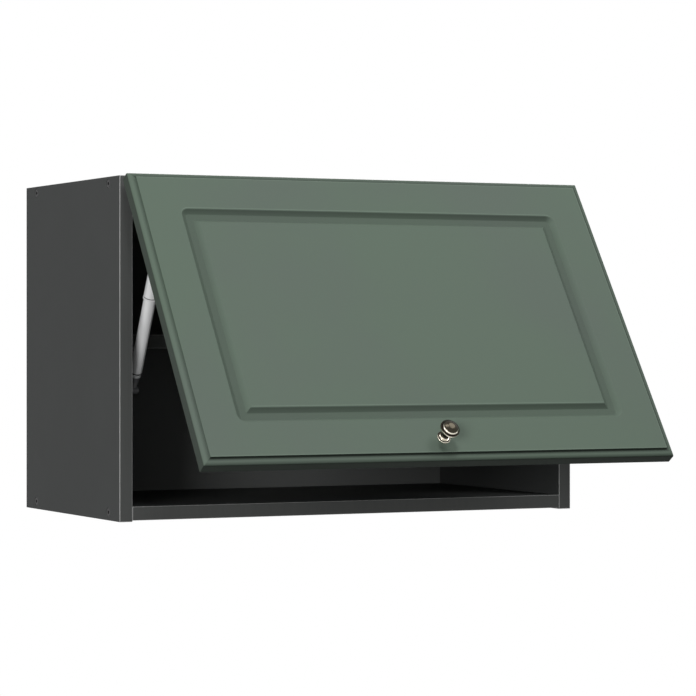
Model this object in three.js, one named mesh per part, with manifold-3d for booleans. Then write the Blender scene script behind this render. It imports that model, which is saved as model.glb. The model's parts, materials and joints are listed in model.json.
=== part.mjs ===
// A wall cabinet with one front that lifts up: a 600 x 400 x 320 mm carcass of 16 mm board,
// a profiled front hung on two concealed hinges, and a gas strut at each side.
// Millimetres, +Z up. X = 0 is the middle, Y = 0 the wall, and Z = 0 the lower ends of the sides;
// the front looks along -Y. The front is drawn closed inside a group that holds it open.

import * as THREE from 'three';
import { mergeVertices } from 'three/addons/utils/BufferGeometryUtils.js';
import Module from 'manifold-3d';

const wasm = await Module();
wasm.setup();

// ---- driving dimensions -------------------------------------------------------------------

// carcass
const cabinetWidth = 600;
const cabinetHeight = 400;
const cabinetDepth = 320;
const boardThickness = 16;
const bottomRaise = 1.5;         // the bottom sits this far above the sides' lower ends
const backThickness = 3;
const shelfUnderside = 200;
const shelfSetback = 100;        // the shelf stays behind the struts as the front closes
const shelfPlay = 0.5;           // at each end and behind the shelf
const pinRadius = 2.5;
const pinDepth = 8;              // into the board, and the same again under the shelf
const pinInset = 45;             // from the shelf's front and rear edges

// assembly screws, driven through the sides into the board ends
const screwInset = 37;           // from the carcass front and from the wall
const screwShankRadius = 3.5;
const screwHeadRadius = 5;
const screwHeadDepth = 4;
const screwLength = 50;
const screwRim = 1;              // height of the head's rim, before its cone
const screwPointLength = 3;
const screwPointRadius = 1.2;
const screwSink = 0.3;           // head below the board's face

// front leaf
const sideReveal = 2;            // each side
const endReveal = 1;             // above and below
const frontThickness = 18;
const closedGap = 2;             // between the closed front and the carcass
const lipWidth = 7.6;            // edge moulding: a step down to a rounded lip
const lipStep = 2.8;
const lipRadius = 5;
const grooveInset = 52.5;        // from the leaf's edges to the groove
const grooveWidth = 20;
const grooveWall = 6;            // width of each sloping wall
const grooveDepth = 5;
const grooveFloorCorner = 4;     // corner radius at the foot of the outer wall

// how the front hangs: its axis lies ahead of the carcass front, level with the top
const axisForward = 10.5;
const axisAboveTop = 1;
const openAngle = 34.7;          // degrees, as the front is held

// knob
const knobFromLower = 27.5;      // from the leaf's lower edge
const roseRadius = 8;
const roseHeight = 2.5;
const neckRadius = 3.4;
const collarRadius = 6;
const collarHeight = 12.5;       // of the collar's middle above the face
const headRadius = 11.6;
const headUnderside = 15.5;
const knobHeight = 25;
const knobScrewRadius = 2;

// concealed hinges
const hingeFromEnd = 100;        // from the cabinet's outside to each hinge
const cupRadius = 17.5;
const cupDepth = 12;
const cupWall = 1;
const cupFromEdge = 22.5;        // cup centre from the leaf's upper edge
const flangeThickness = 1.2;
const earHalfWidth = 30;
const armHalfWidth = 6.5;
const armLength = 68;
const armHeight = 8;
const armWall = 1.2;
const plateFromFront = 37;
const plateThickness = 2.5;
const plateHalfSpan = 25;
const linkThickness = 1.5;
const linkHalfWidth = 4.5;
const linkReach = 13.2;          // how far below the axis the link's tip stops
const linkTipForward = 0.4;      // the tip's middle, ahead of the axis
const linkRoot = 12;             // of the link inside the arm
const linkStraight = 4;          // of the link ahead of the arm, before its bend
const armFromFront = 2;          // the arm's front end, behind the carcass front
const armBelowPlate = 2;
const plateHalfDepth = 8;        // of the plate's wings
const ribHalfWidth = 5;          // the plate's rib, which runs down into the arm
const ribSink = 2;
const ribFromArmEnds = [6, 4];   // front, rear
const earHalfHeight = 6.5;
const earCorner = 5;
const earAboveCup = 9.5;         // the ears' middle, from the cup's
const flangeLip = 1.5;           // the flange beyond the cup's wall

// gas struts
const strutFromSide = 19;        // strut axis from the side panel's inner face
const strutFootBack = 48.5;      // lower pivot, from the carcass front
const strutFootDown = 247.5;     // lower pivot, below the sides' upper ends
const strutHeadDown = 80;        // upper pivot, down the leaf from its upper edge
const strutHeadOff = 12;         // upper pivot, off the leaf's back
const fittingRadius = 6;
const fittingHalfWidth = 6;
const fittingReach = 12;         // pivot to the end of the upper fitting
const footReach = 17;            // pivot to the end of the lower fitting
const sleeveRadius = 8.2;
const sleeveWall = 0.5;
const sleeveEnd = 72.8;          // upper pivot to the sleeve's open rim
const cylinderRadius = 7.4;
const cylinderWall = 0.8;
const cylinderEnd = 128;         // lower pivot to the cylinder's mouth
const rodRadius = 3;
const rodEnd = 121;              // upper pivot to the rod's free end
const studRadius = 4;            // of the side bracket's stud
const headStudRadius = 3;        // of the front bracket's stud, inside the upper fitting
const studStop = 1.5;            // wall left at the closed end of the upper fitting's bore
const bracketThickness = 2;
const sidePlateHalfDepth = 8;
const sidePlateHalfHeight = 26;
const sidePlateCorner = 6;
const earFromFitting = 3.5;      // the front bracket's upright, beside the upper fitting
const uprightHalf = 8;
const baseInward = 4;            // the front bracket's base, past the strut's axis
const baseHalfHeight = 20;

// hanging plates and bumpers
const hangerThickness = 2;
const hangerWidth = 40;
const hangerHeight = 40;
const hangerDepth = 50;
const hangerBelowTop = 4;        // under the top panel
const slotHalfWidth = 4;         // the slot that the wall hook enters
const slotHalfHeight = 8;
const cutoutHalf = 14;           // the square opening in the back, behind each slot
const bumperRadius = 5;
const bumperThickness = 1.4;
const bumperFromLower = 13;

const clearance = 0.3;           // running and seating gap between separate pieces
const overrun = 1;               // how far a cutting shape passes the face it cuts
const roundSteps = 24;           // sides of a small round piece

// ---- derived places -----------------------------------------------------------------------

const halfWidth = cabinetWidth / 2;
const innerHalf = halfWidth - boardThickness;
const bottomTop = bottomRaise + boardThickness;
const topUnderside = cabinetHeight - boardThickness;
const carcassFront = -cabinetDepth;
const leafHalf = halfWidth - sideReveal;
const leafHeight = cabinetHeight - 2 * endReveal;
const leafTop = cabinetHeight - endReveal;
const leafBack = carcassFront - closedGap;
const leafFace = leafBack - frontThickness;
const axisY = carcassFront - axisForward;
const axisZ = cabinetHeight + axisAboveTop;
const shelfFront = carcassFront + shelfSetback;
const shelfRear = -backThickness - shelfPlay;
const hingeX = halfWidth - hingeFromEnd;
const strutX = innerHalf - strutFromSide;

// ---- materials ----------------------------------------------------------------------------

const finish = (color, roughness, metalness = 0) =>
  new THREE.MeshStandardMaterial({ color, roughness, metalness });

const graphiteBoard = finish(0x454746, 0.55);
const darkBack = finish(0x2b2c2c, 0.6);
const sageFront = finish(0x687a6a, 0.5);
const agedBrass = finish(0x9c8c6e, 0.3, 1);
const nickelSteel = finish(0xb4b5b4, 0.3, 1);
const zincScrew = finish(0x3a3a3a, 0.5, 1);
const whitePaint = finish(0xe6e8e8, 0.35);
const greyPlastic = finish(0x6e7071, 0.5);
const clearRubber = finish(0xc8cacb, 0.4);
const polishedRod = finish(0xd0d2d4, 0.15, 1);

// ---- solids -------------------------------------------------------------------------------

// two places in rising order, so that one line serves the left and the right
const range = (a, b) => [Math.min(a, b), Math.max(a, b)];

const box = (x0, x1, y0, y1, z0, z1) =>
  new THREE.BoxGeometry(x1 - x0, y1 - y0, z1 - z0)
    .translate((x0 + x1) / 2, (y0 + y1) / 2, (z0 + z1) / 2);

// a closed three.js geometry as a solid that can be cut and joined
function solid(geometry) {
  const bare = geometry.index ? geometry.toNonIndexed() : geometry.clone();
  bare.deleteAttribute('normal');
  bare.deleteAttribute('uv');
  const welded = mergeVertices(bare, 1e-4);
  return new wasm.Manifold(new wasm.Mesh({
    numProp: 3,
    vertProperties: new Float32Array(welded.attributes.position.array),
    triVerts: new Uint32Array(welded.index.array),
  }));
}

function shapeOf(body) {
  const mesh = body.getMesh();
  const geometry = new THREE.BufferGeometry();
  geometry.setAttribute('position', new THREE.BufferAttribute(mesh.vertProperties, 3));
  geometry.setIndex(new THREE.BufferAttribute(mesh.triVerts, 1));
  geometry.computeVertexNormals();
  return geometry;
}

const cut = (geometry, ...tools) =>
  shapeOf(tools.reduce((body, tool) => body.subtract(solid(tool)), solid(geometry)));

const join = (first, ...others) =>
  others.reduce((body, other) => body.add(solid(other)), solid(first));

// a turned shape about Z from [radius, height] points; a closed profile repeats its first point
function turned(profile, steps = roundSteps) {
  const points = profile.map(([r, h]) => new THREE.Vector2(r, h));
  if (THREE.ShapeUtils.area(points) < 0) points.reverse();
  return new THREE.LatheGeometry(points, steps).rotateX(Math.PI / 2);
}

// a round bar along X between two places
const barX = (x0, x1, y, z, radius, steps = roundSteps) =>
  new THREE.CylinderGeometry(radius, radius, Math.abs(x1 - x0), steps)
    .rotateZ(Math.PI / 2)
    .translate((x0 + x1) / 2, y, z);

// a round bar along Y between two places
const barY = (x, y0, y1, z, radius, steps = roundSteps) =>
  new THREE.CylinderGeometry(radius, radius, Math.abs(y1 - y0), steps)
    .translate(x, (y0 + y1) / 2, z);

function roundedOutline(halfX, halfY, radius) {
  const outline = new THREE.Shape();
  outline.moveTo(-halfX + radius, -halfY);
  outline.lineTo(halfX - radius, -halfY);
  outline.absarc(halfX - radius, -halfY + radius, radius, -Math.PI / 2, 0);
  outline.lineTo(halfX, halfY - radius);
  outline.absarc(halfX - radius, halfY - radius, radius, 0, Math.PI / 2);
  outline.lineTo(-halfX + radius, halfY);
  outline.absarc(-halfX + radius, halfY - radius, radius, Math.PI / 2, Math.PI);
  outline.lineTo(-halfX, -halfY + radius);
  outline.absarc(-halfX + radius, -halfY + radius, radius, Math.PI, 1.5 * Math.PI);
  return outline;
}

function squareOutline(halfX, halfY) {
  const outline = new THREE.Shape();
  outline.moveTo(-halfX, -halfY);
  outline.lineTo(halfX, -halfY);
  outline.lineTo(halfX, halfY);
  outline.lineTo(-halfX, halfY);
  outline.closePath();
  return outline;
}

// ---- the assembly -------------------------------------------------------------------------

const group = new THREE.Group();
const front = new THREE.Group();     // drawn closed, turned open about the hinge axis
front.position.set(0, axisY, axisZ);
front.rotation.x = -THREE.MathUtils.degToRad(openAngle);
group.add(front);

function place(name, geometry, material, parent = group) {
  const mesh = new THREE.Mesh(geometry, material);
  mesh.name = name;
  parent.add(mesh);
  return mesh;
}

// a piece of the front is drawn in the closed front's own place
const placeOnFront = (name, geometry, material) =>
  place(name, geometry.translate(0, -axisY, -axisZ), material, front);

const sides = [['left', -1], ['right', 1]];
const screwRows = [['front', carcassFront + screwInset], ['rear', -screwInset]];
const screwLevels = [
  ['lower', bottomRaise + boardThickness / 2],
  ['upper', cabinetHeight - boardThickness / 2],
];
const pinRows = [['front', shelfFront + pinInset], ['rear', shelfRear - pinInset]];
const pinLevel = shelfUnderside - clearance - pinRadius;

// ---- carcass boards and what joins them ---------------------------------------------------

const screwProfile = (grow) => [
  [0, -grow],
  [screwHeadRadius + grow, -grow],
  [screwHeadRadius + grow, screwRim],
  [screwShankRadius + grow, screwHeadDepth],
  [screwShankRadius + grow, screwLength - screwPointLength],
  [screwPointRadius + grow, screwLength + grow],
  [0, screwLength + grow],
];

// the screw, or the hole for it when grow is above nothing, pointing inward from one side
const screwShape = (side, y, z, grow) =>
  turned(screwProfile(grow), 16)
    .rotateY(-side * Math.PI / 2)
    .translate(side * (halfWidth - screwSink), y, z);

const screwHoles = (side) => screwRows.flatMap(([, y]) =>
  screwLevels.map(([, z]) => screwShape(side, y, z, clearance)));

const headRecess = (side, y, z) =>
  barX(side * (halfWidth - screwRim), side * (halfWidth + overrun), y, z,
    screwHeadRadius + clearance, 16);

function addSidePanel([name, side]) {
  const inner = side * innerHalf;
  const board = box(...range(side * halfWidth, inner), carcassFront, 0, 0, cabinetHeight);
  const recesses = screwRows.flatMap(([, y]) => screwLevels.map(([, z]) => headRecess(side, y, z)));
  const pinHoles = pinRows.map(([, y]) =>
    barX(inner + side * (pinDepth + clearance), inner - side * overrun, y, pinLevel,
      pinRadius + clearance, 12));
  place(`${name}_side_panel`, cut(board, ...screwHoles(side), ...recesses, ...pinHoles),
    graphiteBoard);
}

function addCrossPanel(name, z0) {
  const board = box(-innerHalf, innerHalf, carcassFront, -backThickness, z0, z0 + boardThickness);
  place(name, cut(board, ...screwHoles(-1), ...screwHoles(1)), graphiteBoard);
}

function addScrews([name, side]) {
  for (const [row, y] of screwRows) {
    for (const [level, z] of screwLevels) {
      place(`assembly_screw_${name}_${level}_${row}`, screwShape(side, y, z, 0), zincScrew);
    }
  }
}

function addShelfPins([name, side]) {
  for (const [row, y] of pinRows) {
    place(`shelf_pin_${name}_${row}`,
      barX(side * (innerHalf + pinDepth), side * (innerHalf - pinDepth), y, pinLevel, pinRadius, 12),
      nickelSteel);
  }
}

// the back closes the carcass between the sides; wall hooks enter through its two cut-outs
const hangerTop = topUnderside - hangerBelowTop;
const hangerMiddle = hangerTop - hangerHeight / 2;
const hangerSlotX = innerHalf - hangerWidth / 2 - hangerThickness;

function addBackPanel() {
  const sheet = box(-innerHalf, innerHalf, -backThickness, 0, bottomRaise, cabinetHeight);
  const cutouts = sides.map(([, side]) =>
    box(side * hangerSlotX - cutoutHalf, side * hangerSlotX + cutoutHalf,
      -backThickness - overrun, overrun, hangerMiddle - cutoutHalf, hangerMiddle + cutoutHalf));
  place('back_panel', cut(sheet, ...cutouts), darkBack);
}

// an angle of steel in each top rear corner, slotted for the wall hook
function addHangingPlate([name, side]) {
  const inner = side * innerHalf;
  const rear = -backThickness;
  const onSide = box(...range(inner, inner - side * hangerThickness), rear - hangerDepth, rear,
    hangerTop - hangerHeight, hangerTop);
  const onBack = box(...range(inner, inner - side * hangerWidth), rear - hangerThickness, rear,
    hangerTop - hangerHeight, hangerTop);
  const slot = box(side * hangerSlotX - slotHalfWidth, side * hangerSlotX + slotHalfWidth,
    rear - hangerThickness - overrun, rear + overrun,
    hangerMiddle - slotHalfHeight, hangerMiddle + slotHalfHeight);
  place(`hanging_plate_${name}`, shapeOf(join(onSide, onBack).subtract(solid(slot))), nickelSteel);
}

function addShelf() {
  const half = innerHalf - shelfPlay;
  place('shelf', box(-half, half, shelfFront, shelfRear, shelfUnderside,
    shelfUnderside + boardThickness), graphiteBoard);
}

// ---- front leaf ---------------------------------------------------------------------------

// an outline in the leaf's plane, extruded towards the room from a plane at y
const standUp = (geometry, y) =>
  geometry.rotateX(Math.PI / 2).translate(0, y, leafTop - leafHeight / 2);

function leafBlank() {
  const lip = standUp(new THREE.ExtrudeGeometry(squareOutline(leafHalf, leafHeight / 2), {
    depth: frontThickness - lipStep,
    bevelThickness: lipRadius,
    bevelSize: lipRadius,
    bevelOffset: -lipRadius,
    bevelSegments: 5,
  }), leafBack + lipRadius);
  const behind = box(-leafHalf - overrun, leafHalf + overrun, leafBack,
    leafBack + 2 * lipRadius + overrun, leafTop - leafHeight - overrun, leafTop + overrun);
  const field = box(-leafHalf + lipWidth, leafHalf - lipWidth, leafFace, leafFace + 2 * lipStep,
    leafTop - leafHeight + lipWidth, leafTop - lipWidth);
  return solid(lip).subtract(solid(behind)).add(solid(field));
}

// the routed groove: a sunk field with sloping walls, less the panel that is left standing
function grooveTool() {
  const outerX = leafHalf - grooveInset;
  const outerZ = leafHeight / 2 - grooveInset;
  const sunk = standUp(new THREE.ExtrudeGeometry(
    roundedOutline(outerX - grooveWall, outerZ - grooveWall, grooveFloorCorner), {
      depth: grooveDepth,
      bevelThickness: grooveDepth,
      bevelSize: grooveWall,
      bevelSegments: 1,
      curveSegments: 4,
    }), leafFace);
  const panel = standUp(new THREE.ExtrudeGeometry(
    squareOutline(outerX - grooveWidth, outerZ - grooveWidth), {
      depth: grooveDepth,
      bevelThickness: grooveDepth,
      bevelSize: grooveWall,
      bevelSegments: 1,
    }), leafFace + 2 * grooveDepth);
  return solid(sunk).subtract(solid(panel));
}

const cupLevel = leafTop - cupFromEdge;
const knobLevel = leafTop - leafHeight + knobFromLower;

function addFrontLeaf() {
  const pockets = sides.map(([, side]) => barY(side * hingeX, leafBack + overrun,
    leafBack - cupDepth - 2 * clearance, cupLevel, cupRadius + clearance, 48));
  const knobHole = barY(0, leafBack + overrun, leafFace - overrun, knobLevel,
    knobScrewRadius + clearance, 12);
  const leaf = [...pockets, knobHole].reduce((body, tool) => body.subtract(solid(tool)),
    leafBlank().subtract(grooveTool()));
  placeOnFront('front_leaf', shapeOf(leaf), sageFront);
}

// ---- knob ---------------------------------------------------------------------------------

// turned about an axis that points out of the front's face
const onFace = (profile, steps = 32) =>
  turned(profile, steps).rotateX(Math.PI / 2).translate(0, leafFace, knobLevel);

function addKnob() {
  const bore = knobScrewRadius + clearance;
  const rim = roseRadius - 1;
  placeOnFront('knob_rose', onFace([
    [bore, clearance],
    [roseRadius, clearance],
    [roseRadius, roseHeight - 1],
    [rim, roseHeight],
    [bore, roseHeight],
    [bore, clearance],
  ]), agedBrass);

  const seat = roseHeight + clearance;
  const headMiddle = (headUnderside + knobHeight) / 2;
  placeOnFront('knob_head', onFace([
    [bore, seat],
    [neckRadius + 1.6, seat],
    [neckRadius, seat + 2.5],
    [neckRadius, collarHeight - 2],
    [collarRadius, collarHeight - 1],
    [collarRadius, collarHeight + 1],
    [neckRadius + 1, collarHeight + 2],
    [neckRadius + 2, headUnderside],
    [headRadius - 1.2, headUnderside + 1.2],
    [headRadius, headMiddle],
    [headRadius - 1, headMiddle + 2.2],
    [headRadius - 4, knobHeight - 1],
    [headRadius - 8, knobHeight],
    [0, knobHeight],
    [0, collarHeight],
    [bore, collarHeight],
    [bore, seat],
  ]), agedBrass);

  const behind = frontThickness + clearance;
  placeOnFront('knob_screw', onFace([
    [0, -behind - 2.4],
    [3, -behind - 2.4],
    [4, -behind - 1.6],
    [4, -behind],
    [knobScrewRadius, -behind],
    [knobScrewRadius, collarHeight - 1],
    [0, collarHeight - 1],
  ], 16), nickelSteel);
}

// ---- concealed hinges ---------------------------------------------------------------------

function addHingeCup([name, side]) {
  const shell = turned([
    [0, cupDepth],
    [cupRadius - 1, cupDepth],
    [cupRadius, cupDepth - 1],
    [cupRadius, -clearance],
    [cupRadius + flangeLip, -clearance],
    [cupRadius + flangeLip, -clearance - flangeThickness],
    [cupRadius - cupWall, -clearance - flangeThickness],
    [cupRadius - cupWall, cupDepth - cupWall],
    [0, cupDepth - cupWall],
  ], 36).rotateX(Math.PI / 2);
  const ears = new THREE.ExtrudeGeometry(roundedOutline(earHalfWidth, earHalfHeight, earCorner),
    { depth: flangeThickness, bevelEnabled: false, curveSegments: 3 })
    .rotateX(Math.PI / 2)
    .translate(0, clearance + flangeThickness, -earAboveCup);
  const mouth = barY(0, -overrun, clearance + flangeThickness + overrun, 0, cupRadius - cupWall, 36);
  const cup = join(shell, shapeOf(solid(ears).subtract(solid(mouth))));
  placeOnFront(`hinge_cup_${name}`,
    shapeOf(cup).translate(side * hingeX, leafBack, cupLevel), nickelSteel);
}

// plate under the top panel, arm below it, and the curved link that reaches into the cup
const plateMiddle = carcassFront + plateFromFront;
const armTop = topUnderside - plateThickness - armBelowPlate;
const armFront = carcassFront + armFromFront;
const armRear = armFront + armLength;

function addHingePlate([name, side]) {
  const x = side * hingeX;
  const [ribFront, ribRear] = ribFromArmEnds;
  const wings = box(x - plateHalfSpan, x + plateHalfSpan, plateMiddle - plateHalfDepth,
    plateMiddle + plateHalfDepth, topUnderside - plateThickness, topUnderside);
  const rib = box(x - ribHalfWidth, x + ribHalfWidth, armFront + ribFront, armRear - ribRear,
    armTop - ribSink, topUnderside);
  place(`hinge_plate_${name}`, shapeOf(join(wings, rib)), nickelSteel);
}

function addHingeArm([name, side]) {
  const x = side * hingeX;
  const channel = box(x - armHalfWidth, x + armHalfWidth, armFront, armRear, armTop - armHeight,
    armTop);
  const hollow = box(x - armHalfWidth + armWall, x + armHalfWidth - armWall, armFront - overrun,
    armRear + overrun, armTop - armHeight + armWall, armTop + overrun);
  place(`hinge_arm_${name}`, cut(channel, hollow), nickelSteel);
}

function addHingeLink([name, side]) {
  const rootY = armFront + linkRoot;
  const rootZ = armTop - armHeight + armWall + clearance;
  const tipZ = axisZ - linkReach;
  const level = rootZ + linkThickness / 2;
  const tipY = axisY - linkTipForward;
  const spine = new THREE.CurvePath();
  const bendStart = new THREE.Vector2(armFront - linkStraight, level);
  spine.add(new THREE.LineCurve(new THREE.Vector2(rootY, level), bendStart));
  spine.add(new THREE.QuadraticBezierCurve(bendStart,
    new THREE.Vector2(tipY, level), new THREE.Vector2(tipY, tipZ)));
  const stations = [0, 0.5, 0.62, 0.7, 0.78, 0.85, 0.92, 1];
  const edge = (sign) => stations.map((t) => {
    const middle = spine.getPoint(t);
    const along = spine.getTangent(t);
    return new THREE.Vector2(middle.x - sign * along.y * linkThickness / 2,
      middle.y + sign * along.x * linkThickness / 2);
  });
  const outline = new THREE.Shape([...edge(1), ...edge(-1).reverse()]);
  const strip = new THREE.ExtrudeGeometry(outline,
    { depth: 2 * linkHalfWidth, bevelEnabled: false });
  // the outline's own x runs along the cabinet's Y and its own y along Z
  strip.applyMatrix4(new THREE.Matrix4().makeBasis(new THREE.Vector3(0, 1, 0),
    new THREE.Vector3(0, 0, 1), new THREE.Vector3(1, 0, 0)));
  place(`hinge_link_${name}`, strip.translate(side * hingeX - linkHalfWidth, 0, 0), nickelSteel);
}

// ---- gas struts ---------------------------------------------------------------------------

const foot = new THREE.Vector3(0, carcassFront + strutFootBack, cabinetHeight - strutFootDown);
const headClosed = new THREE.Vector3(0, leafBack + strutHeadOff, leafTop - strutHeadDown);
front.updateMatrixWorld(true);
const head = headClosed.clone().sub(front.position).applyMatrix4(front.matrixWorld);
const strutLength = head.distanceTo(foot);
const strutLean = Math.atan2(foot.y - head.y, head.z - foot.z);
const footDistance = (fromFoot) => -(strutLength - fromFoot);

// the eye of an end fitting, pivoting about X
const eye = (z) => barX(-fittingHalfWidth, fittingHalfWidth, 0, z, fittingRadius);

function addStrut([name, side]) {
  const strut = new THREE.Group();       // its origin is the upper pivot, and it hangs along -Z
  strut.position.set(side * strutX, head.y, head.z);
  strut.rotation.x = strutLean;
  group.add(strut);

  const stud = barX(-side * (fittingHalfWidth - studStop), side * (fittingHalfWidth + overrun), 0,
    0, headStudRadius + clearance);
  const upperNeck = turned([[0, -fittingReach], [5.4, -fittingReach], [4.6, -2], [0, -2]]);
  place(`strut_upper_fitting_${name}`,
    shapeOf(join(eye(0), upperNeck).subtract(solid(stud))), greyPlastic, strut);

  const sleeveTop = -fittingReach - clearance;
  const inside = sleeveRadius - sleeveWall;
  place(`strut_sleeve_${name}`, turned([
    [rodRadius + clearance, sleeveTop],
    [sleeveRadius - 1, sleeveTop],
    [sleeveRadius, sleeveTop - 1],
    [sleeveRadius, -sleeveEnd],
    [inside, -sleeveEnd],
    [inside, sleeveTop - 1.5],
    [rodRadius + clearance, sleeveTop - 1.5],
    [rodRadius + clearance, sleeveTop],
  ]), whitePaint, strut);

  place(`strut_rod_${name}`, turned([
    [0, sleeveTop], [rodRadius, sleeveTop], [rodRadius, -rodEnd], [0, -rodEnd],
  ], 16), polishedRod, strut);

  const mouth = footDistance(cylinderEnd);
  const base = footDistance(footReach + clearance);
  const bore = cylinderRadius - cylinderWall;
  const glandRadius = rodRadius + clearance;
  place(`strut_cylinder_${name}`, turned([
    [0, base],
    [cylinderRadius - 0.8, base],
    [cylinderRadius, base + 0.8],
    [cylinderRadius, mouth - 0.8],
    [cylinderRadius - 0.8, mouth],
    [glandRadius, mouth],
    [glandRadius, mouth - 3],
    [bore, mouth - 4],
    [bore, base + 3],
    [0, base + 3],
  ]), whitePaint, strut);

  const lowerNeck = turned([
    [0, footDistance(0) + 2],
    [4.4, footDistance(0) + 2],
    [5.8, footDistance(footReach)],
    [0, footDistance(footReach)],
  ]);
  place(`strut_lower_fitting_${name}`,
    shapeOf(join(eye(footDistance(0)), lowerNeck)), greyPlastic, strut);
}

// a plate on the side panel whose stud stops just short of the lower fitting
function addSideBracket([name, side]) {
  const inner = side * innerHalf;
  const plate = new THREE.ExtrudeGeometry(
    roundedOutline(sidePlateHalfDepth, sidePlateHalfHeight, sidePlateCorner),
    { depth: bracketThickness, bevelEnabled: false, curveSegments: 4 });
  plate.applyMatrix4(new THREE.Matrix4().makeBasis(new THREE.Vector3(0, 1, 0),
    new THREE.Vector3(0, 0, 1), new THREE.Vector3(1, 0, 0)));
  plate.translate(side > 0 ? inner - bracketThickness : inner, foot.y, foot.z);
  const stud = barX(inner - side, side * (strutX + fittingHalfWidth + clearance), foot.y, foot.z,
    studRadius);
  place(`strut_side_bracket_${name}`, shapeOf(join(plate, stud)), nickelSteel);
}

// an angle on the leaf's back with a stud through the upper fitting
function addFrontBracket([name, side]) {
  const x = side * strutX;
  const seat = leafBack + clearance;
  const ear = x + side * (fittingHalfWidth + earFromFitting);
  const base = box(...range(x - side * baseInward, ear + side * bracketThickness),
    seat, seat + bracketThickness, headClosed.z - baseHalfHeight, headClosed.z + baseHalfHeight);
  const upright = box(...range(ear, ear + side * bracketThickness), seat,
    headClosed.y + uprightHalf, headClosed.z - uprightHalf, headClosed.z + uprightHalf);
  const stud = barX(ear, x - side * (fittingHalfWidth - studStop - overrun), headClosed.y,
    headClosed.z, headStudRadius);
  placeOnFront(`strut_front_bracket_${name}`, shapeOf(join(base, upright, stud)), nickelSteel);
}

// ---- bumpers on the leaf's back -----------------------------------------------------------

function addBumper([name, side]) {
  const x = side * (halfWidth - boardThickness / 2);
  const z = leafTop - leafHeight + bumperFromLower;
  placeOnFront(`bumper_${name}`,
    barY(x, leafBack + clearance, leafBack + clearance + bumperThickness, z, bumperRadius, 16),
    clearRubber);
}

sides.forEach(addSidePanel);
addCrossPanel('bottom_panel', bottomRaise);
addCrossPanel('top_panel', topUnderside);
addBackPanel();
addShelf();
sides.forEach(addScrews);
sides.forEach(addShelfPins);
sides.forEach(addHangingPlate);
addFrontLeaf();
addKnob();
sides.forEach(addHingeCup);
sides.forEach(addHingePlate);
sides.forEach(addHingeArm);
sides.forEach(addHingeLink);
sides.forEach(addStrut);
sides.forEach(addSideBracket);
sides.forEach(addFrontBracket);
sides.forEach(addBumper);

export default group;
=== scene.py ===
import json
import math
import bmesh
import bpy
import numpy as np
from mathutils import Matrix, Vector


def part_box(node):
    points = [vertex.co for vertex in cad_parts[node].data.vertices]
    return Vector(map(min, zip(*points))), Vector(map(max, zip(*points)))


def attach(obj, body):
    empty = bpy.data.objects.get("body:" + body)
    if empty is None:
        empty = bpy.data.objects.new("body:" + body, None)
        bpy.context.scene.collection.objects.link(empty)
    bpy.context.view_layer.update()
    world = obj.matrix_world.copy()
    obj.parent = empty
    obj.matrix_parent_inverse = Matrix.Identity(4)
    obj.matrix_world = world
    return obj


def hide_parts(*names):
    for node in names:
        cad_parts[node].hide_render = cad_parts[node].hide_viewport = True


# A wall cabinet with one front that lifts up. Metres, +Z up; X = 0 is the middle, Y = 0 the wall,
# Z = 0 the lower ends of the sides, and the front looks along -Y.

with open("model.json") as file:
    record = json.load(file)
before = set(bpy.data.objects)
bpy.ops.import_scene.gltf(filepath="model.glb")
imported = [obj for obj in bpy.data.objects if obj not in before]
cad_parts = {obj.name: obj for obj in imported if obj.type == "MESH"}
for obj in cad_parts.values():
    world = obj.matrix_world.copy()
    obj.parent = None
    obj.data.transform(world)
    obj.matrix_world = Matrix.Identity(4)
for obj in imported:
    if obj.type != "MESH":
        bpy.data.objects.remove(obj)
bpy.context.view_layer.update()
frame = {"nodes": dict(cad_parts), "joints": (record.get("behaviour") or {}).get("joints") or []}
scene = bpy.context.scene
mm = 0.001
print("frame loaded:", len(frame["nodes"]), "nodes")

joints = {joint["name"]: joint for joint in frame["joints"]}
sides = (("left", -1), ("right", 1))


# each finish's colours, linear; the numbers in the finishes are patterns a metre, shares and metres
tones = dict(
    graphite=(0.0600, 0.0632, 0.0622),
    graphiteEdge=(0.100, 0.104, 0.101),
    trimHighlight=(0.40, 0.405, 0.40),
    backDecor=(0.145, 0.150, 0.147),
    sage=(0.134, 0.176, 0.142),
    sageGrey=(0.133, 0.169, 0.141),
    sageGreen=(0.132, 0.179, 0.139),
    hardboard=(0.20, 0.125, 0.07),
    chip=(0.42, 0.29, 0.17),
    bronze=(0.040, 0.035, 0.026),
    patina=(0.012, 0.010, 0.008),
    polished=(0.87, 0.82, 0.69),
    nickel=(0.56, 0.55, 0.53),
    nickelEdge=(0.74, 0.73, 0.71),
    zinc=(0.034, 0.034, 0.035),
    zincEdge=(0.10, 0.10, 0.10),
    white=(0.92, 0.93, 0.93),
    whiteEdge=(0.62, 0.62, 0.61),
    plastic=(0.078, 0.080, 0.083),
    rubber=(0.55, 0.56, 0.57),
    rod=(0.70, 0.70, 0.71),
)


def shifted(name, factor):
    # one of those colours, lighter or darker
    return tuple(channel * factor for channel in tones[name])


class Signal:
    # one output socket of a material, for use in sums: a sum of signals adds its Math nodes
    def __init__(self, finish, socket):
        self.finish, self.socket = finish, socket

    def math(self, operation, other):
        return self.finish.add("ShaderNodeMath", {"operation": operation}, {0: self, 1: other})

    def __add__(self, other):
        return self.math("ADD", other)

    def __sub__(self, other):
        return self.math("SUBTRACT", other)

    def __mul__(self, other):
        return self.math("MULTIPLY", other)

    __radd__ = __add__


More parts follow.
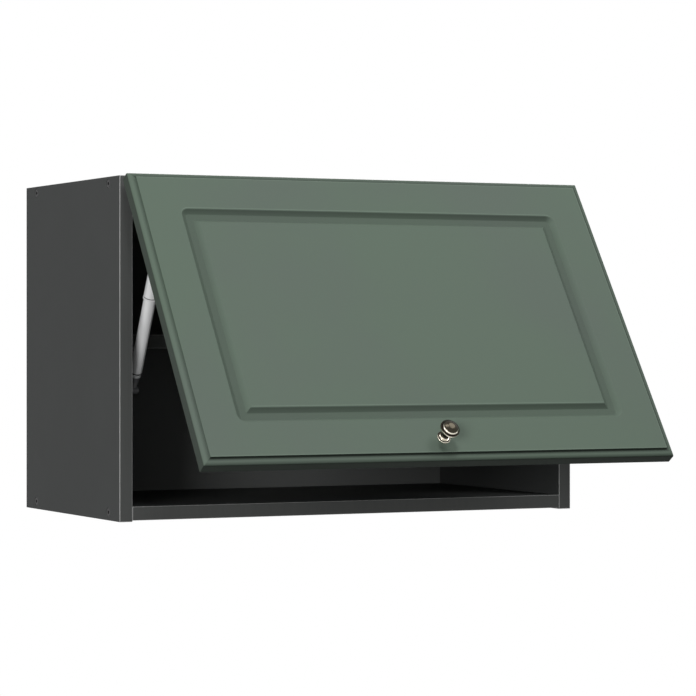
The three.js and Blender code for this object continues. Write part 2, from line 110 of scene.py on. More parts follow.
class Finish:
    # one material: a Principled shader whose constants are set straight on its sockets
    def __init__(self, name, **constants):
        self.material = bpy.data.materials.new(name)
        self.material.use_nodes = True
        self.tree = self.material.node_tree
        self.shader = self.tree.nodes["Principled BSDF"]
        for socket, value in constants.items():
            self.shader.inputs[socket.replace("_", " ")].default_value = value
        self.place = self.add("ShaderNodeTexCoord", output="Object")
        self.bump = None

    def add(self, kind, settings=None, inputs=None, output=0):
        node = self.tree.nodes.new(kind)
        for setting, value in (settings or {}).items():
            if setting == "stops":
                self.setStops(node.color_ramp, value)
            else:
                setattr(node, setting, value)
        for socket, value in (inputs or {}).items():
            self.feed(node.inputs[socket], value)
        return Signal(self, node.outputs[output])

    def setStops(self, ramp, stops):
        while len(ramp.elements) < len(stops):
            ramp.elements.new(0.5)
        for element, (position, value) in zip(ramp.elements, stops):
            element.position = position
            element.color = (*value, 1)

    def feed(self, socket, value):
        if isinstance(value, Signal):
            self.tree.links.new(value.socket, socket)
        elif isinstance(value, tuple) and len(value) == 3 and socket.type == "RGBA":
            socket.default_value = (*value, 1)
        else:
            socket.default_value = value

    def noise(self, scale, detail=3, rough=0.5, place=None):
        inputs = {"Vector": place or self.place, "Scale": scale, "Detail": detail, "Roughness": rough}
        return self.add("ShaderNodeTexNoise", None, inputs)

    def cells(self, scale, output="Distance", place=None):
        inputs = {"Vector": place or self.place, "Scale": scale}
        return self.add("ShaderNodeTexVoronoi", None, inputs, output)

    def stretched(self, x, y, z):
        return self.add("ShaderNodeMapping", None, {"Vector": self.place, "Scale": (x, y, z)})

    def along(self, axis):
        return self.add("ShaderNodeSeparateXYZ", None, {0: self.place}, axis)

    def between(self, value, low, high, kind="SMOOTHSTEP"):
        # 0 at low and 1 at high
        inputs = {"Value": value, "From Min": low, "From Max": high}
        return self.add("ShaderNodeMapRange", {"interpolation_type": kind}, inputs)

    def ramp(self, value, *stops):
        return self.add("ShaderNodeValToRGB", {"stops": stops}, {0: value})

    def mix(self, factor, first, second):
        inputs = {0: factor, 6: first, 7: second}
        return self.add("ShaderNodeMix", {"data_type": "RGBA"}, inputs, 2)

    def varied(self, factor, name, darkest, lightest):
        return self.mix(factor, shifted(name, darkest), shifted(name, lightest))

    def worn(self, radius):
        # 1 at the arrises, 0 on the flats, from how far a rounded normal turns away from the true one
        bevel = self.add("ShaderNodeBevel", {"samples": 4}, {"Radius": radius})
        normal = self.add("ShaderNodeNewGeometry", output="Normal")
        dot = self.add("ShaderNodeVectorMath", {"operation": "DOT_PRODUCT"}, {0: bevel, 1: normal}, 1)
        return self.between(dot, 0.995, 0.9)

    def relief(self, height, strength, distance):
        inputs = {"Height": height, "Strength": strength, "Distance": distance}
        if self.bump:
            inputs["Normal"] = self.bump
        self.bump = self.add("ShaderNodeBump", None, inputs)

    def done(self, **signals):
        for socket, value in signals.items():
            self.feed(self.shader.inputs[socket.replace("_", " ")], value)
        if self.bump:
            self.feed(self.shader.inputs["Normal"], self.bump)
        return self.material


def melamineFinish():
    # pressed decor paper: faint cloud, fine pearl grain pressed by the plate
    f = Finish("graphite_melamine", Specular_IOR_Level=0.05)
    cloud = f.noise(9, 4, 0.55)
    fleck = f.noise(900, 2)
    colour = f.varied(f.between(cloud, 0.3, 0.7), "graphite", 0.94, 1.06)
    colour = f.mix(f.between(fleck, 0.35, 0.75) * 0.35, colour, shifted("graphite", 1.22))
    grain = f.noise(1400, 3, 0.6)
    hammer = f.cells(520)
    f.relief(grain * 0.6 + hammer * 0.4, 0.35, 0.00009)
    return f.done(Base_Color=colour, Roughness=0.46 + grain * 0.10 + cloud * 0.06)


def bandFinish():
    # plastic edging: a little glossier, with the faint length-wise draw of its extrusion
    f = Finish("graphite_edge_band", Specular_IOR_Level=0.1)
    draw = f.noise(260, 2, 0.5, f.stretched(1, 1, 0.04))
    colour = f.varied(draw, "graphiteEdge", 0.93, 1.07)
    f.relief(draw, 0.25, 0.00006)
    return f.done(Base_Color=colour, Roughness=0.36 + draw * 0.12)


def trimHighlightFinish():
    # the trimmed arris of the edging: a thin pale line, uneven where the trimmer chattered, pale enough
    # to be a painted highlight along the arris
    f = Finish("trimmed_band_arris_highlight", Specular_IOR_Level=0.3)
    chatter = f.noise(340, 2, 0.5)
    slow = f.noise(14, 3, 0.6)
    colour = f.varied(chatter * 0.6 + slow * 0.4, "trimHighlight", 0.7, 1.25)
    f.relief(chatter, 0.2, 0.00005)
    return f.done(Base_Color=colour, Roughness=0.34 + chatter * 0.14)


def chipFinish():
    # raw chipboard: flakes of several sizes, coarse in the core
    f = Finish("raw_chipboard", Specular_IOR_Level=0.1)
    place = f.stretched(1, 1, 0.6)
    flake = f.cells(420, "Color", place)
    gap = f.cells(420, "Distance", place)
    dust = f.noise(1500, 3)
    shade = f.add("ShaderNodeSeparateColor", None, {0: flake}, "Red")
    colour = f.ramp(shade, (0, shifted("chip", 0.55)), (0.5, tones["chip"]), (1, shifted("chip", 1.35)))
    colour = f.mix(f.between(gap, 0.45, 0.8) * 0.7, colour, shifted("chip", 0.25))
    f.relief(shade * 0.6 + dust * 0.4 - gap, 0.7, 0.0003)
    return f.done(Base_Color=colour, Roughness=0.78 + dust * 0.15)


def backFinish():
    # thin board, dark decor towards the room and bare brown hardboard towards the wall
    f = Finish("back_sheet", Specular_IOR_Level=0.08)
    outside = f.between(f.along("Y"), -0.0012, -0.0008)
    felt = f.noise(700, 4, 0.65)
    fibre = f.noise(240, 3, 0.6, f.stretched(1, 1, 0.25))
    brown = f.varied(felt, "hardboard", 0.72, 1.25)
    brown = f.mix(f.between(fibre, 0.58, 0.75) * 0.5, brown, shifted("hardboard", 0.5))
    dark = f.varied(felt, "backDecor", 0.9, 1.1)
    f.relief(felt * 0.5 + fibre * 0.5, 0.5, 0.00015)
    return f.done(Base_Color=f.mix(outside, dark, brown), Roughness=0.5 + outside * 0.28)


def sageFinish():
    # matt film drawn over shaped fibreboard: soft peel, faint cloud, pale arrises that are partly rubbed
    # film and partly painted highlight, and painted shade in the recesses
    f = Finish("sage_film", Specular_IOR_Level=0.09)
    cloud = f.noise(5, 3, 0.5)
    peel = f.noise(420, 2, 0.45)
    tooth = f.noise(2600, 2, 0.5)
    wear = f.add("ShaderNodeAttribute", {"attribute_name": "wear"}, output="Fac")
    rubbedAndHighlight = f.between(wear + (cloud - 0.5) * 0.3, 0.15, 1)      # the painted tone is above 0 on the arrises, which are rubbed film with a painted highlight
    sunk = f.between(wear * -1, 0, 1, kind="LINEAR")             # and below 0 in the recesses, where it darkens the film as painted shade
    colour = f.mix(f.between(cloud, 0.35, 0.65), tones["sageGrey"], tones["sageGreen"])
    colour = f.mix(tooth * 0.25, colour, shifted("sage", 1.12))
    # rubbed arrises with a painted highlight, paler up to one and a half times the film's colour
    colour = f.mix(rubbedAndHighlight * 0.75, colour, shifted("sage", 1.5))
    # painted shade: the recesses and the leaf's outer edge darken towards a fifth of the film's colour
    colour = f.mix(sunk, colour, shifted("sage", 0.2))
    f.relief(peel, 0.18, 0.00012)
    f.relief(tooth, 0.22, 0.00003)
    return f.done(Base_Color=colour, Roughness=0.55 + peel * 0.06 + tooth * 0.06 - rubbedAndHighlight * 0.08)


def brassFinish():
    # antique brass: bright where fingers rub it and, as a painted highlight, on the lower rims; brown on
    # the rounds, nearly black in the hollows
    f = Finish("antique_brass", Metallic=1.0)
    hollow = f.add("ShaderNodeAttribute", {"attribute_name": "hollow"}, output="Fac")
    polish = f.add("ShaderNodeAttribute", {"attribute_name": "polish"}, output="Fac")
    cloud = f.noise(160, 4, 0.6)
    turning = f.noise(2200, 2, 0.5, f.stretched(1, 0.2, 0.2))
    stain = f.between(hollow + (cloud - 0.5) * 0.4, 0.2, 0.8)
    rubbedAndHighlight = f.between(polish + (cloud - 0.5) * 0.3, 0.2, 0.62)
    colour = f.varied(cloud, "bronze", 0.75, 1.25)
    colour = f.mix(stain, colour, tones["patina"])
    # polished rims, brightest on the lower side, where that is a painted highlight
    colour = f.mix(rubbedAndHighlight, colour, tones["polished"])
    f.relief(turning, 0.12, 0.00004)
    return f.done(Base_Color=colour, Roughness=0.2 + stain * 0.25 + cloud * 0.08 - rubbedAndHighlight * 0.06)


def nickelFinish():
    # nickel-plated pressed steel: rolling marks, dulled flats, bright pressed edges
    f = Finish("nickel_steel", Metallic=1.0)
    rolled = f.noise(900, 3, 0.5, f.stretched(0.05, 1, 1))
    cloud = f.noise(60, 3, 0.6)
    edge = f.worn(0.0006)
    colour = f.varied(cloud, "nickel", 0.86, 1.08)
    colour = f.mix(edge * 0.5, colour, tones["nickelEdge"])
    f.relief(rolled, 0.15, 0.00005)
    return f.done(Base_Color=colour, Roughness=0.24 + rolled * 0.12 + cloud * 0.08 - edge * 0.08)


def zincFinish():
    # black-passivated zinc plating, a little cloudy, with paler rims
    f = Finish("dark_zinc", Metallic=0.75, Specular_IOR_Level=0.2)
    cloud = f.noise(300, 4, 0.6)
    rim = f.worn(0.0004)
    colour = f.varied(cloud, "zinc", 0.6, 1.3)
    colour = f.mix(rim * 0.4, colour, tones["zincEdge"])
    f.relief(cloud, 0.25, 0.00008)
    return f.done(Base_Color=colour, Roughness=0.36 + cloud * 0.2)


def whiteFinish():
    # baked white enamel over steel tube
    f = Finish("white_enamel", Specular_IOR_Level=0.5, Coat_Weight=0.7, Coat_Roughness=0.18)
    peel = f.noise(900, 2, 0.5)
    cloud = f.noise(40, 3, 0.5)
    edge = f.worn(0.0004)
    colour = f.varied(cloud, "white", 0.97, 1.02)
    colour = f.mix(edge * 0.3, colour, tones["whiteEdge"])
    f.relief(peel, 0.15, 0.00006)
    return f.done(Base_Color=colour, Roughness=0.26 + peel * 0.10)


def plasticFinish():
    # glass-filled nylon, spark-eroded mould skin
    f = Finish("grey_nylon", Specular_IOR_Level=0.45)
    skin = f.noise(2200, 3, 0.6)
    cloud = f.noise(90, 3, 0.6)
    edge = f.worn(0.0005)
    colour = f.varied(cloud, "plastic", 0.88, 1.1)
    colour = f.mix(edge * 0.4, colour, shifted("plastic", 1.6))
    f.relief(skin, 0.4, 0.00006)
    return f.done(Base_Color=colour, Roughness=0.44 + skin * 0.16)


def rubberFinish():
    # clear soft pad, slightly cloudy
    f = Finish("clear_pad", IOR=1.45, Transmission_Weight=0.55)
    haze = f.noise(500, 3, 0.6)
    colour = f.varied(haze, "rubber", 0.9, 1.25)
    f.relief(haze, 0.1, 0.00005)
    return f.done(Base_Color=colour, Roughness=0.28 + haze * 0.2)


def rodFinish():
    # ground and polished piston rod
    f = Finish("polished_rod", Metallic=1.0)
    ground = f.noise(3000, 2, 0.5, f.stretched(0.15, 1, 1))
    oil = f.noise(70, 3, 0.5)
    colour = f.varied(oil, "rod", 0.93, 1.05)
    f.relief(ground, 0.08, 0.00003)
    return f.done(Base_Color=colour, Roughness=0.09 + ground * 0.06 + oil * 0.05)


graphite = melamineFinish()
band = bandFinish()
trimHighlight = trimHighlightFinish()
chip = chipFinish()
backSheet = backFinish()
sage = sageFinish()
brass = brassFinish()
nickel = nickelFinish()
zinc = zincFinish()
white = whiteFinish()
plastic = plasticFinish()
rubber = rubberFinish()
rod = rodFinish()
print("finishes made")


straight = math.radians(89)      # half of an angle past which a corner is not rounded
sideShare = 0.49                 # how much of each side an arc may take


def filleted(points, steps=5, closed=False):
    # a path through (a, b) corners, where (a, b, radius) gives one an arc of that many steps
    path = []
    for i, (a, b, *radius) in enumerate(points):
        corner = Vector((a, b))
        if not radius or (not closed and i in (0, len(points) - 1)):
            path.append(corner)
            continue
        before = Vector(points[i - 1][:2]) - corner
        after = Vector(points[(i + 1) % len(points)][:2]) - corner
        half = before.angle(after) / 2
        if half > straight:
            path.append(corner)
            continue
        reach = min(radius[0] / math.tan(half), before.length * sideShare, after.length * sideShare)
        middle = (before.normalized() + after.normalized()).normalized()
        centre = corner + middle * reach / math.cos(half)
        start = corner + before.normalized() * reach - centre
        end = corner + after.normalized() * reach - centre
        path += [centre + start.slerp(end, k / steps) * start.length for k in range(steps + 1)]
    return path


def revolved(profile, steps, closed=False):
    # turned about Z from (radius, height) points in millimetres
    bm = bmesh.new()
    rings = []
    for radius, height in profile:
        count = 1 if radius == 0 else steps      # one point on the axis closes the pole
        turns = [2 * math.pi * k / steps for k in range(count)]
        rings.append([bm.verts.new((radius * mm * math.cos(t), radius * mm * math.sin(t), height * mm))
                      for t in turns])
    for a, b in zip(rings, rings[1:] + (rings[:1] if closed else [])):
        for k in range(steps):
            n = (k + 1) % steps
            corners = [a[k % len(a)], a[n % len(a)], b[n % len(b)], b[k % len(b)]]
            unique = list(dict.fromkeys(corners))
            if len(unique) > 2:
                bm.faces.new(unique)
    bmesh.ops.recalc_face_normals(bm, faces=bm.faces)
    return bm


def bevelledBox(low, high, width, segments):
    bm = bmesh.new()
    size = Matrix.Diagonal((*(high - low), 1))
    bmesh.ops.create_cube(bm, size=1, matrix=Matrix.Translation((low + high) / 2) @ size)
    bmesh.ops.bevel(bm, geom=bm.edges[:], offset=width * mm, segments=segments, profile=0.5,
                    affect="EDGES")
    return bm


def shiftedBy(points, a, b):
    # profile points given from a corner of the piece
    return [(x + a, y + b, *radius) for x, y, *radius in points]


def asObject(name, bm, *finishes):
    mesh = bpy.data.meshes.new(name)
    bm.to_mesh(mesh)
    bm.free()
    for finish in finishes:
        mesh.materials.append(finish)
    obj = bpy.data.objects.new(name, mesh)
    scene.collection.objects.link(obj)
    return obj


def settled(obj):
    # the object's mesh with its modifiers worked in
    depsgraph = bpy.context.evaluated_depsgraph_get()
    mesh = bpy.data.meshes.new_from_object(obj.evaluated_get(depsgraph))
    obj.modifiers.clear()
    obj.data = mesh
    return obj


def carved(obj, *cutters):
    for cutter in cutters:
        tool = obj.modifiers.new("cut", "BOOLEAN")
        tool.operation, tool.solver, tool.object = "DIFFERENCE", "EXACT", cutter
    settled(obj)
    for cutter in cutters:
        bpy.data.objects.remove(cutter)
    return obj


def finished(obj, body, nodes=(), crease=32):
    obj.data.shade_smooth()
    obj.data.set_sharp_from_angle(angle=math.radians(crease))
    weighted = obj.modifiers.new("weighted", "WEIGHTED_NORMAL")
    weighted.keep_sharp = True
    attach(obj, body)
    if nodes:
        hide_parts(*nodes)
    return obj


refining = dict(merge=0.002, flat=0.6, crease=35, segments=2)      # millimetres and degrees


def refined(node, name, finish, body, width):
    # a merged copy of a CAD piece with its arrises rounded
    p = refining
    bm = bmesh.new()
    bm.from_mesh(frame["nodes"][node].data)
    bmesh.ops.remove_doubles(bm, verts=bm.verts, dist=p["merge"] * mm)
    bmesh.ops.dissolve_limit(bm, angle_limit=math.radians(p["flat"]), verts=bm.verts, edges=bm.edges)
    arrises = [edge for edge in bm.edges
               if edge.is_manifold and edge.calc_face_angle() > math.radians(p["crease"])]
    bmesh.ops.bevel(bm, geom=arrises, offset=width * mm, segments=p["segments"], profile=0.5,
                    affect="EDGES", clamp_overlap=True)
    return finished(asObject(name, bm, finish), body, (node,))


def moved(bm, matrix):
    bm.transform(matrix)
    return bm


def pointing(place, direction):
    # a matrix that stands a Z-turned piece at a place, facing a direction
    turn = Vector((0, 0, 1)).rotation_difference(direction)
    return Matrix.Translation(place) @ turn.to_matrix().to_4x4()


def nodeBox(name):
    low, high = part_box(name)
    return Vector(low), Vector(high)


def fastenerTree():
    tree = bpy.data.node_groups.new("fasteners_on_points", "GeometryNodeTree")
    for name, way, kind in (("Geometry", "INPUT", "Geometry"), ("Template", "INPUT", "Object"),
                            ("Seed", "INPUT", "Int"), ("Finish", "INPUT", "Material"),
                            ("Geometry", "OUTPUT", "Geometry")):
        tree.interface.new_socket(name, in_out=way, socket_type=f"NodeSocket{kind}")
    nodes, link = tree.nodes, tree.links.new
    given = nodes.new("NodeGroupInput")
    template = nodes.new("GeometryNodeObjectInfo")
    template.transform_space = "ORIGINAL"
    link(given.outputs["Template"], template.inputs["Object"])
    facing = nodes.new("GeometryNodeInputNamedAttribute")
    facing.data_type = "FLOAT_VECTOR"
    facing.inputs["Name"].default_value = "facing"
    align = nodes.new("FunctionNodeAlignRotationToVector")
    align.axis = "Z"
    link(facing.outputs["Attribute"], align.inputs["Vector"])
    turn = nodes.new("FunctionNodeRandomValue")      # each one stops at a turn of its own
    turn.data_type = "FLOAT"
    turn.inputs[3].default_value = 2 * math.pi      # its greatest value
    link(given.outputs["Seed"], turn.inputs["Seed"])
    spin = nodes.new("FunctionNodeAxisAngleToRotation")
    spin.inputs["Axis"].default_value = (0, 0, 1)
    link(turn.outputs[1], spin.inputs["Angle"])
    rotate = nodes.new("FunctionNodeRotateRotation")
    rotate.rotation_space = "LOCAL"
    link(align.outputs["Rotation"], rotate.inputs["Rotation"])
    link(spin.outputs["Rotation"], rotate.inputs["Rotate By"])
    points = nodes.new("GeometryNodeMeshToPoints")
    link(given.outputs["Geometry"], points.inputs["Mesh"])
    setOn = nodes.new("GeometryNodeInstanceOnPoints")
    link(points.outputs["Points"], setOn.inputs["Points"])
    link(template.outputs["Geometry"], setOn.inputs["Instance"])
    link(rotate.outputs["Rotation"], setOn.inputs["Rotation"])
    realize = nodes.new("GeometryNodeRealizeInstances")
    link(setOn.outputs["Instances"], realize.inputs["Geometry"])
    paint = nodes.new("GeometryNodeSetMaterial")
    link(realize.outputs["Geometry"], paint.inputs["Geometry"])
    link(given.outputs["Finish"], paint.inputs["Material"])
    result = nodes.new("NodeGroupOutput")
    link(paint.outputs["Geometry"], result.inputs["Geometry"])
    return tree


fasteners = fastenerTree()


def setFasteners(name, places, template, finish, body, seed, nodes=()):
    # places are (point, facing) pairs in metres
    mesh = bpy.data.meshes.new(name)
    mesh.from_pydata([tuple(point) for point, _ in places], [], [])
    facing = mesh.attributes.new("facing", "FLOAT_VECTOR", "POINT")
    facing.data.foreach_set("vector", [value for _, way in places for value in way])
    obj = bpy.data.objects.new(name, mesh)
    scene.collection.objects.link(obj)
    modifier = obj.modifiers.new("fasteners", "NODES")
    modifier.node_group = fasteners
    values = {"Template": template, "Seed": seed, "Finish": finish}
    for item in fasteners.interface.items_tree:
        if item.name in values:
            modifier[item.identifier] = values[item.name]
    settled(obj)
    return finished(obj, body, nodes)


def prism(radius, low, high, corners):
    # a closed prism about Z, for cutting drive recesses
    bm = bmesh.new()
    matrix = Matrix.Translation((0, 0, (low + high) / 2 * mm))
    bmesh.ops.create_cone(bm, cap_ends=True, segments=corners, radius1=radius * mm, radius2=radius * mm,
                          depth=(high - low) * mm, matrix=matrix)
    return bm


cutOver = 1.0      # millimetres by which a cutter starts outside the face it cuts

screw = dict(head=5.0, rim=1.0, shank=3.5, cone=4.0, length=46.5, socket=2.3, socketDepth=2.6,
             steps=40, seeds=dict(left=9, right=10))
woodScrew = dict(head=3.1, crown=2.17, crownRise=0.28, rim=0.35, shank=1.6, cone=2.0, length=6.0,
                 cross=2.1, slot=0.42, crossDepth=1.1, proud=0.35, steps=24)
nail = dict(head=2.6, crown=1.43, rise=0.8, rim=0.15, neck=-0.1, shank=0.8, length=6.0, steps=16)


def makeTemplates():
    s = screw
    body = asObject("screw_template", revolved(filleted([
        (0, 0), (s["head"], 0, 0.25), (s["head"], -s["rim"], 0.2), (s["shank"], -s["cone"], 0.3),
        (s["shank"], -s["length"]), (0, -s["length"])], 3), s["steps"]))
    hexSocket = asObject("socket_cutter", prism(s["socket"], -s["socketDepth"], cutOver, corners=6))
    carved(body, hexSocket)

    w = woodScrew
    small = asObject("wood_screw_template", revolved(filleted([
        (0, w["proud"]), (w["crown"], w["crownRise"], 0.5), (w["head"], 0, 0.1),
        (w["head"], -w["rim"], 0.1), (w["shank"], -w["cone"], 0.2), (w["shank"], -w["length"]),
        (0, -w["length"])], 2), w["steps"]))
    cutters = []
    for turn in (0, math.pi / 2):
        bm = bmesh.new()
        size = Matrix.Diagonal((2 * w["cross"] * mm, 2 * w["slot"] * mm, 2 * w["crossDepth"] * mm, 1))
        lift = Matrix.Translation((0, 0, w["proud"] * mm))
        bmesh.ops.create_cube(bm, size=1, matrix=Matrix.Rotation(turn, 4, "Z") @ lift @ size)
        cutters.append(asObject("cross_cutter", bm))
    carved(small, *cutters)

    n = nail
    pin = asObject("nail_template", revolved(filleted([
        (0, n["rise"]), (n["crown"], n["rise"], 0.8), (n["head"], n["rim"], 0.1), (n["head"], 0, 0.05),
        (n["shank"], n["neck"]), (n["shank"], -n["length"]), (0, -n["length"])], 2), n["steps"]))
    return body, small, pin


screwTemplate, woodTemplate, nailTemplate = makeTemplates()
print("fasteners ready")


carcass = dict(
    arris=0.45, sideArris=0.75, segments=3, bandDepth=0.9, trimFacing=(0.25, 0.97),
    front=-320.0, inside=284.0, topUnder=384.0,
    seatRim=0.75, seatRimHeight=0.28, seatGap=0.3, seatDepth=1.2, seatCone=4.4, seatBore=19.0,
    pinHole=2.8, pinDepth=9.0, pinHoleSteps=24)
pinRows = ("front", "rear")


def board(node, name, rawRear=False, arris=carcass["arris"]):
    # edging along the front with its trimmed line, pale as a painted highlight, and bare chipboard along
    # the rear of the sides
    low, high = nodeBox(node)
    flattest, steepest = carcass["trimFacing"]
    bm = bevelledBox(low, high, arris, carcass["segments"])
    for face in bm.faces:
        y = face.calc_center_median().y
        if y < low.y + carcass["bandDepth"] * mm:
            face.material_index = 3 if flattest < -face.normal.y < steepest else 1
        elif rawRear and face.normal.y > 0.9:
            face.material_index = 2
    return asObject(name, bm, graphite, band, chip, trimHighlight)


def screwSpots(name, side):
    # (node, place of the head, way it faces) for each screw through a side
    spots = []
    for node in frame["nodes"]:
        if node.startswith(f"assembly_screw_{name}_"):
            low, high = nodeBox(node)
            outer = low.x if side < 0 else high.x
            place = Vector((outer, (low.y + high.y) / 2, (low.z + high.z) / 2))
            spots.append((node, place, Vector((side, 0, 0))))
    return spots


def pinSpot(name, side, row):
    # where a shelf pin leaves the inner face of a side, and the pin's own box
    low, high = nodeBox(f"shelf_pin_{name}_{row}")
    middle = (low + high) / 2
    face = Vector((side * carcass["inside"] * mm, middle.y, middle.z))
    return pointing(face, Vector((-side, 0, 0))), low, high


def makeSides():
    p = carcass
    rim, seat = screw["head"] + p["seatRim"], screw["head"] + p["seatGap"]
    bore = screw["shank"] + p["seatGap"]
    for name, side in sides:
        panel = board(f"{name}_side_panel", f"{name}_side_board", rawRear=True, arris=p["sideArris"])
        cutters = []
        for _, place, way in screwSpots(name, side):
            # a stepped countersink: a broken rim at the face, then the head's seat
            hole = revolved([
                (0, cutOver), (rim, cutOver), (rim, p["seatRimHeight"]), (seat, 0),
                (seat, -p["seatDepth"]), (bore, -p["seatCone"]), (bore, -p["seatBore"]),
                (0, -p["seatBore"])], screw["steps"])
            cutters.append(asObject("countersink", moved(hole, pointing(place, way))))
        for row in pinRows:
            hole = revolved([(0, cutOver), (p["pinHole"], cutOver), (p["pinHole"], -p["pinDepth"]),
                             (0, -p["pinDepth"])], p["pinHoleSteps"])
            cutters.append(asObject("pin_hole", moved(hole, pinSpot(name, side, row)[0])))
        carved(panel, *cutters)
        finished(panel, "cabinet", (f"{name}_side_panel",))


def makeCrossBoards():
    for node, name in (("top_panel", "top_board"), ("bottom_panel", "bottom_board"),
                       ("shelf", "shelf_board")):
        finished(board(node, name), "cabinet", (node,))


def makeScrews():
    for name, side in sides:
        spots = screwSpots(name, side)
        setFasteners(f"assembly_screws_{name}", [spot[1:] for spot in spots], screwTemplate, zinc,
                     "cabinet", screw["seeds"][name], [spot[0] for spot in spots])


shelfPin = dict(nose=0.6, shoulder=1.4, tail=0.4, steps=32)


def makeShelfPins():
    p = shelfPin
    for name, side in sides:
        for row in pinRows:
            place, low, high = pinSpot(name, side, row)
            radius, length = (high.z - low.z) / 2 / mm, (high.x - low.x) / 2 / mm
            pin = revolved(filleted([
                (0, length), (radius, length, p["nose"]), (radius, p["shoulder"]),
                (radius, -length, p["tail"]), (0, -length)], 3), p["steps"])
            obj = asObject(f"shelf_pin_{name}_{row}_turned", moved(pin, place), nickel)
            finished(obj, "cabinet", (f"shelf_pin_{name}_{row}",))


back = dict(across=7, up=5, nailInset=8.0, sideInset=6.0, seed=11)      # nails along each edge


def makeBack():
    p = back
    sheet = frame["nodes"]["back_panel"]
    sheet.data.materials.clear()
    sheet.data.materials.append(backSheet)
    low, high = nodeBox("back_panel")
    inset, sideInset, way = p["nailInset"] * mm, p["sideInset"] * mm, Vector((0, 1, 0))
    places = []
    for x in np.linspace(low.x + inset, high.x - inset, p["across"]):
        places += [(Vector((x, 0, z)), way) for z in (low.z + inset, high.z - inset)]
    for z in np.linspace(low.z + inset, high.z - inset, p["up"])[1:-1]:
        places += [(Vector((side * (high.x - sideInset), 0, z)), way) for _, side in sides]
    setFasteners("back_nails", places, nailTemplate, nickel, "cabinet", p["seed"])


makeSides()
makeCrossBoards()
makeScrews()
makeShelfPins()
makeBack()
print("carcass made")


axis = Vector(joints["front_hinge"]["pos_m"])
openTurn = math.radians(-joints["front_hinge"]["range_deg"][0])
opened = Matrix.Translation(axis) @ Matrix.Rotation(-openTurn, 4, "X") @ Matrix.Translation(-axis)

# millimetres; cornerRadii gives (inset, radius) of the leaf's corners from its edge inwards
leaf = dict(
    halfWidth=298.0, height=398.0, top=399.0, back=-322.0, thickness=18.0,
    lipWidth=8.6, lipStep=2.8, lipRadius=4.4, riserArris=0.5, riserFoot=0.35, riserTop=0.95,
    grooveInset=52.5, grooveWidth=20.0, grooveWall=6.0, grooveDepth=5.0,
    arris=0.6, foot=1.6, backRim=1.5, backArris=0.5, paintedToneReach=1.6, wallTop=1.3,
    cornerRadii=((0, 0.7), (8.6, 0.7), (51.5, 10.5), (52.5, 10), (58.5, 4.2), (66.5, 1.2), (72.5, 0.7)),
    cornerSteps=6, arcSteps=5, crease=24,
    cupFromEdge=22.5, cupRadius=17.8, cupDepth=12.6, cupX=200.0, cupSteps=64,
    knobFromLower=27.5,
)
leaf["middle"] = leaf["top"] - leaf["height"] / 2
leaf["bottom"] = leaf["top"] - leaf["height"]
leaf["face"] = leaf["back"] - leaf["thickness"]

# from leaf terms (x, up the leaf from its middle, out from its back) to the held-open front
onLeaf = opened @ Matrix(((mm, 0, 0, 0), (0, 0, -mm, leaf["back"] * mm),
                          (0, mm, 0, leaf["middle"] * mm), (0, 0, 0, 1)))

# painted tone on the film, from 1 where the arrises are rubbed pale and carry a painted highlight to -1
# where painted shade lies deepest
film = dict(
    arris=1, riser=-1, edge=-1, lip=-0.2, grooveFloor=-0.3, grooveWall=-0.52,
    arrisReach=0.9, riserReach=0.5, edgeReach=0.6, floorReach=0.4, wallFoot=0.05,
    leftArris=0.9, leftRiser=0.65, leftEdge=0.2, uprightEase=0.6, litFade=1.7)

leafCorners = ((1, -1), (1, 1), (-1, 1), (-1, -1))
cornerPoints = leaf["cornerSteps"] + 1
ringTurns = [(k - 1 + j / leaf["cornerSteps"]) * math.pi / 2
             for k in range(len(leafCorners)) for j in range(cornerPoints)]


def leafRing(bm, inset, height, radius):
    # one ring of the swept profile, with a rounded corner at each end of each side
    halfX = leaf["halfWidth"] - inset - radius
    halfZ = leaf["height"] / 2 - inset - radius
    ring = []
    for k, turn in enumerate(ringTurns):
        sx, sz = leafCorners[k // cornerPoints]
        ring.append(bm.verts.new((sx * halfX + radius * math.cos(turn),
                                  sz * halfZ + radius * math.sin(turn), height)))
    return ring


def paintedToneAt(inset, height):
    # the painted tone by where a point lies on the profile: highlight on the arrises, shade on the
    # riser, the outer edge, the lip and in the grooves
    p, top = leaf, leaf["thickness"]
    groove = (p["grooveInset"], p["grooveInset"] + p["grooveWidth"])
    if any(math.hypot(inset - arris, height - top) < film["arrisReach"]
           for arris in (p["lipWidth"], *groove)):
        return film["arris"]
    if abs(inset - p["lipWidth"]) < film["riserReach"]:
        return film["riser"]
    if groove[0] < inset < groove[1]:
        onFloor = height < top - p["grooveDepth"] + film["floorReach"]
        return film["grooveFloor"] if onFloor else film["grooveWall"]
    if inset < film["edgeReach"]:
        return film["edge"]
    return film["lip"] if inset < p["lipWidth"] else 0


def paintedToneShare(inset, height, turn):
    # how much of that painted tone shows on each side, by how the lamps fall: the left lip has less,
    # groove walls that look up or left lose it towards their tops, and upright grooves have less than
    # level ones
    p, top = leaf, leaf["thickness"]
    middle = p["grooveInset"] + p["grooveWidth"] / 2
    if inset < p["lipWidth"] + film["arrisReach"]:
        left = max(0, -math.cos(turn)) ** 2
        if inset < film["edgeReach"]:
            return 1 - left * film["leftEdge"]
        onArris = height > top - film["arrisReach"]
        return 1 - left * (film["leftArris"] if onArris else film["leftRiser"])
    if abs(inset - middle) > p["grooveWidth"] / 2 + film["arrisReach"]:
        return 1
    outwards = 1 if inset > middle else -1
    lit = max(0, outwards * math.sin(turn)) ** 2 + max(0, -outwards * math.cos(turn)) ** 2
    rise = 1 + (height - top) / p["grooveDepth"]
    ease = film["uprightEase"] if rise > film["wallFoot"] else 0
    return (1 - lit * min(1, rise * film["litFade"])) * (1 - ease * math.cos(turn) ** 2)


